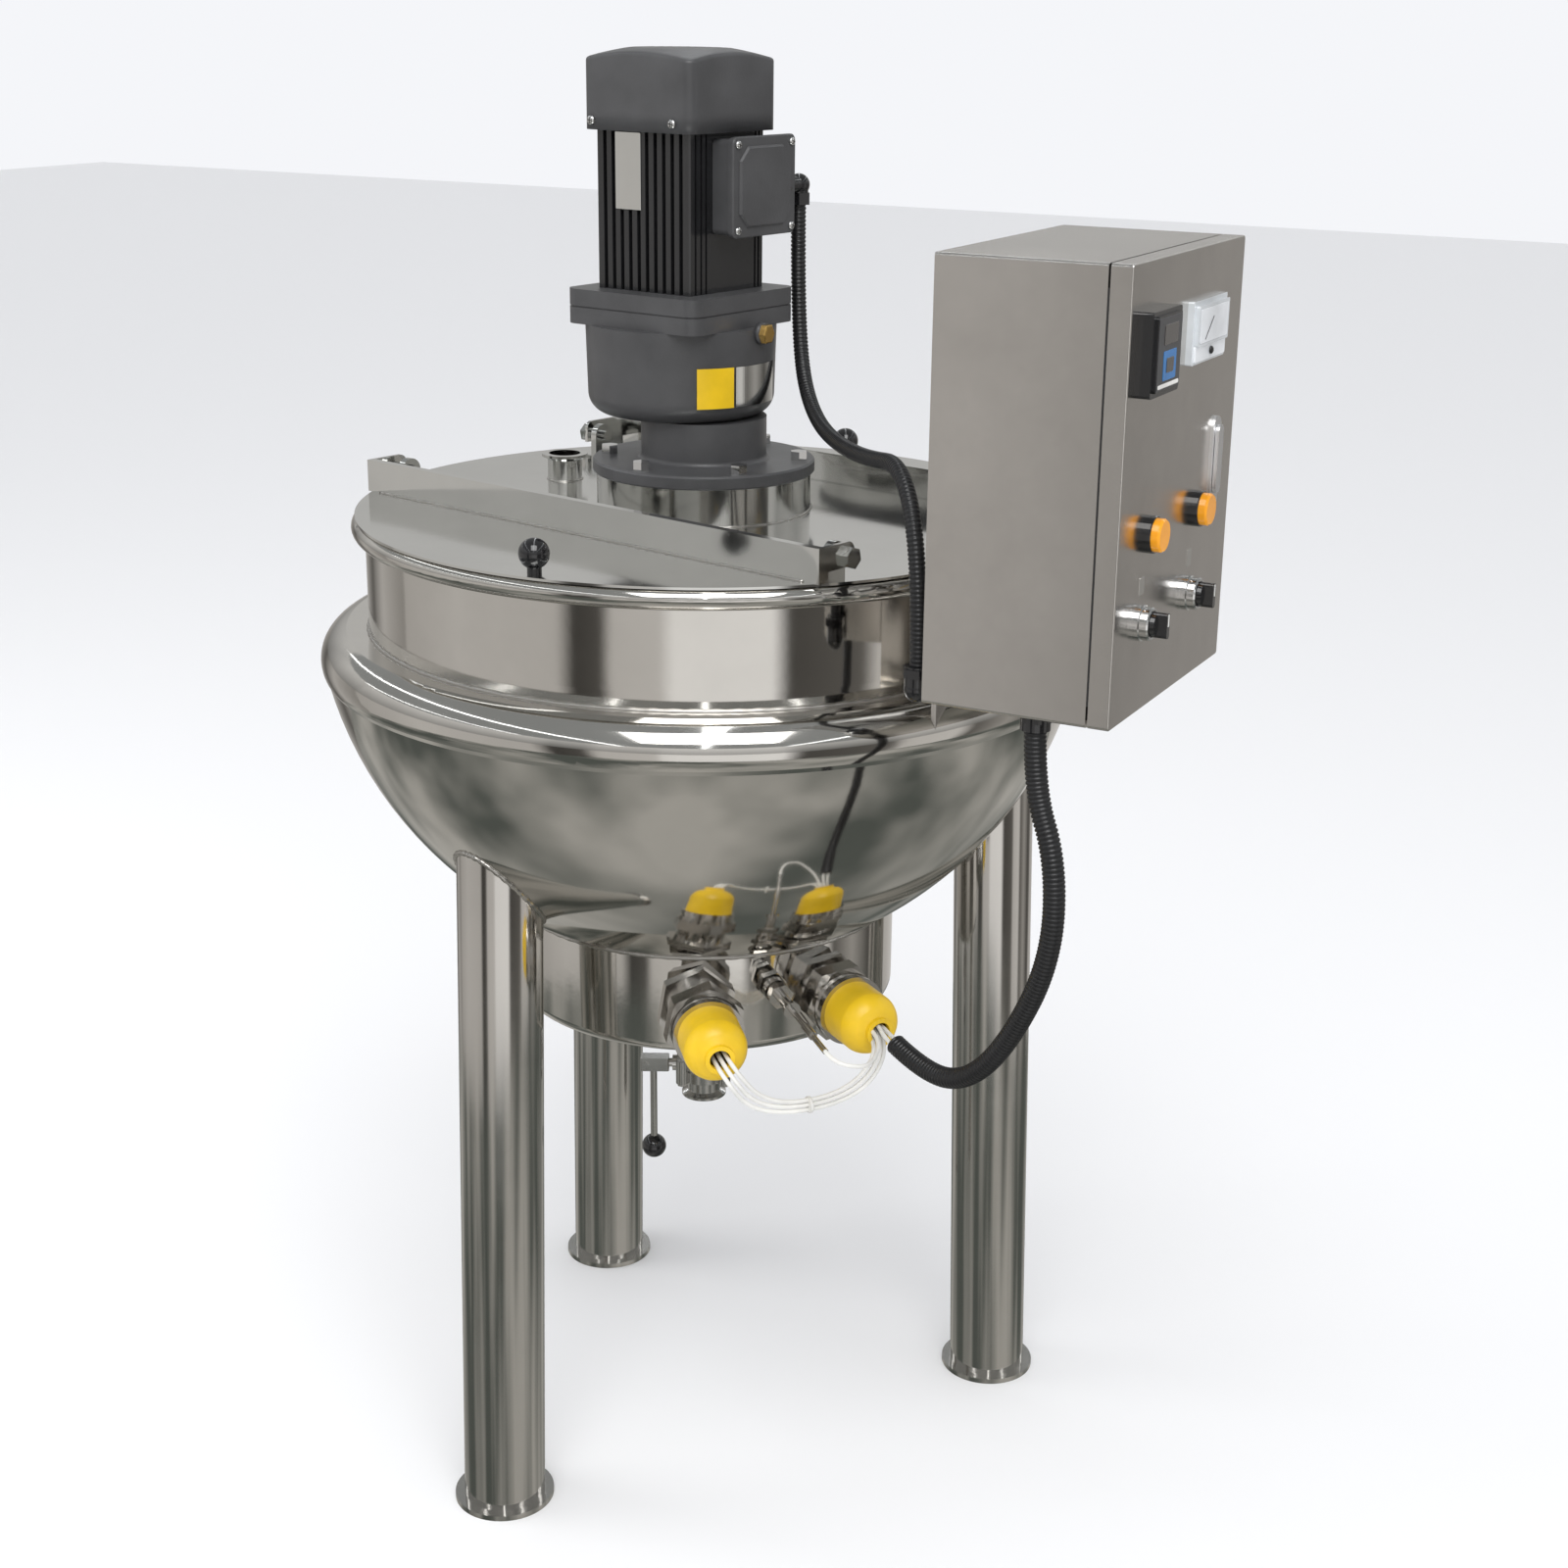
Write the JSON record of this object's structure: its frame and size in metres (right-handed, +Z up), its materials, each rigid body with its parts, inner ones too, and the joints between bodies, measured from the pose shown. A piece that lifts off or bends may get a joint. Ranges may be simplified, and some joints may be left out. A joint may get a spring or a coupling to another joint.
{
  "type": "jacketed kettle",
  "caption": "Jacketed cooking kettle on three tube legs, with hinged half covers, a stirrer drive, a heated sump, a bottom outlet valve and a side control box.",
  "frame": {"origin": "on the floor, on the vertical axis of the round kettle", "axes": "+Z up along the kettle axis, +X towards the door face of the control box, -Y towards the side of the box that the front leg stands on"},
  "size_m": [1.0015, 0.8146, 1.524],
  "materials": {
    "kettle_steel": "mirror polished stainless steel",
    "lid_steel": "mirror polished stainless steel",
    "leg_steel": "polished stainless steel tube",
    "drive_paint": "satin dark grey machine paint",
    "black_plastic": "glossy black plastic",
    "clear_plastic": "clear plastic meter housing",
    "heater_steel": "machined stainless steel",
    "yellow_plastic": "worn yellow plastic",
    "valve_steel": "polished stainless steel",
    "box_steel": "brushed stainless steel sheet",
    "chrome_trim": "chromed zinc",
    "lamp_amber": "amber lens",
    "gasket_rubber": "black foam rubber",
    "conduit_black": "black ribbed plastic conduit",
    "lead_white": "white braided glass fibre sleeve"
  },
  "bodies": {
    "kettle": {"box_bracket": "box_steel", "box_glands": "black_plastic", "cap_lead_1": "lead_white", "cap_lead_2": "lead_white", "cap_lead_3": "lead_white", "control_box": "box_steel", "fan_cover": "drive_paint", "flange_bolts": "chrome_trim", "gear_flange": "drive_paint", "gearbox": "drive_paint", "heater_cap_1": "yellow_plastic", "heater_cap_2": "yellow_plastic", "heater_conduit": "conduit_black", "heater_lead_1": "lead_white", "heater_lead_2": "lead_white", "heater_socket_1": "heater_steel", "heater_socket_2": "heater_steel", "hinge_lugs": "lid_steel", "hinge_pin": "black_plastic", "inner_pot": "kettle_steel", "jacket": "kettle_steel", "leg_back": "leg_steel", "leg_front": "leg_steel", "leg_right": "leg_steel", "lid_bridge": "lid_steel", "motor_adapter": "drive_paint", "motor_base_ring": "lid_steel", "motor_body": "drive_paint", "motor_conduit": "conduit_black", "motor_gland": "black_plastic", "mounting_plate": "box_steel", "outlet_pipe": "valve_steel", "sample_nozzle": "lid_steel", "sensor_lead": "lead_white", "sensor_probe": "heater_steel", "stirrer": "valve_steel", "sump": "kettle_steel", "terminal_box": "drive_paint", "terminal_cover": "drive_paint", "valve_body": "valve_steel"},
    "front_cover": {"front_lid": "lid_steel", "front_bar": "lid_steel", "front_knob": "black_plastic"},
    "back_cover": {"back_lid": "lid_steel", "back_bar": "lid_steel", "back_knob": "black_plastic"},
    "door": {"control_door": "box_steel", "door_gasket": "gasket_rubber", "controller": "black_plastic", "panel_meter": "clear_plastic", "pilot_lamp_1": "lamp_amber", "pilot_lamp_2": "lamp_amber", "selector_rings": "chrome_trim", "latch_plate": "chrome_trim"},
    "latch": {"latch_lever": "chrome_trim"},
    "selector_1": {"selector_knob_1": "black_plastic"},
    "selector_2": {"selector_knob_2": "black_plastic"},
    "valve": {"valve_stem": "valve_steel", "valve_handle": "valve_steel", "handle_ball": "black_plastic"}
  },
  "joints": [
    {"name": "front_cover_hinge", "type": "hinge", "parent": "kettle", "child": "front_cover", "pos_m": [-0.03225, -0.14547, 1.0785], "axis": [-0.9763, 0.2164, 0], "range_deg": [0, 85]},
    {"name": "back_cover_hinge", "type": "hinge", "parent": "kettle", "child": "back_cover", "pos_m": [0.03225, 0.14547, 1.0785], "axis": [0.9763, -0.2164, 0], "range_deg": [0, 85]},
    {"name": "door_hinge", "type": "hinge", "parent": "kettle", "child": "door", "pos_m": [0.545, -0.2819, 1.17], "axis": [0, 0, -1], "range_deg": [0, 110]},
    {"name": "latch_turn", "type": "hinge", "parent": "door", "child": "latch", "pos_m": [0.569, -0.038, 1.1954], "axis": [1, 0, 0], "range_deg": [0, 90]},
    {"name": "selector_1_turn", "type": "hinge", "parent": "door", "child": "selector_1", "pos_m": [0.576, -0.2215, 1.0554], "axis": [1, 0, 0], "range_deg": [-45, 45]},
    {"name": "selector_2_turn", "type": "hinge", "parent": "door", "child": "selector_2", "pos_m": [0.576, -0.0935, 1.0554], "axis": [1, 0, 0], "range_deg": [-45, 45]},
    {"name": "valve_turn", "type": "hinge", "parent": "kettle", "child": "valve", "pos_m": [0, 0, 0.409], "axis": [-0.887, -0.4617, 0], "range_deg": [0, 90]}
  ]
}
